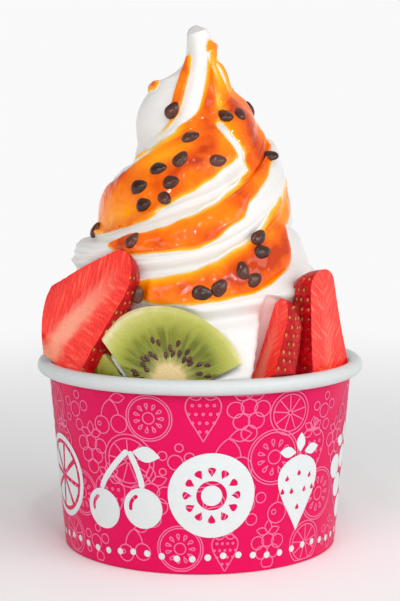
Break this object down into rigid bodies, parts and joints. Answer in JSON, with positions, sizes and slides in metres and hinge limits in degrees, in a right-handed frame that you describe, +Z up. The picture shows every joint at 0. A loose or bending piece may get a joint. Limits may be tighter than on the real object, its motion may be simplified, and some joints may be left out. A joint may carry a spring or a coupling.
{
  "type": "frozen yogurt cup",
  "caption": "Tall soft-serve frozen yogurt swirl in a paper cup, topped with strawberry halves, kiwi slices and passion fruit sauce.",
  "frame": {"origin": "middle of the cup's foot, on the surface that the cup stands on", "axes": "+Z up through the middle of the cup, -Y towards the front with the kiwi slice, +X to the right"},
  "size_m": [0.096, 0.096, 0.1514],
  "materials": {
    "printed_paper": "satin printed paperboard, deep pink with lighter pink line drawing, white rolled rim",
    "white_paper": "plain coated white paperboard",
    "yogurt": "smooth soft-serve frozen yogurt, softly glossy",
    "strawberry": "wet cut strawberry, red skin with small seeds",
    "kiwi": "moist green kiwi flesh with a pale core and dark seeds",
    "sauce": "clear glossy orange passion fruit sauce",
    "passion_seed": "glossy dark brown seeds"
  },
  "bodies": {
    "root": {"cup_wall": "printed_paper", "cup_base": "white_paper", "yogurt": "yogurt", "strawberry_left": "strawberry", "strawberry_front_right": "strawberry", "strawberry_back_right": "strawberry", "kiwi_front": "kiwi", "kiwi_side": "kiwi"}
  },
  "joints": []
}
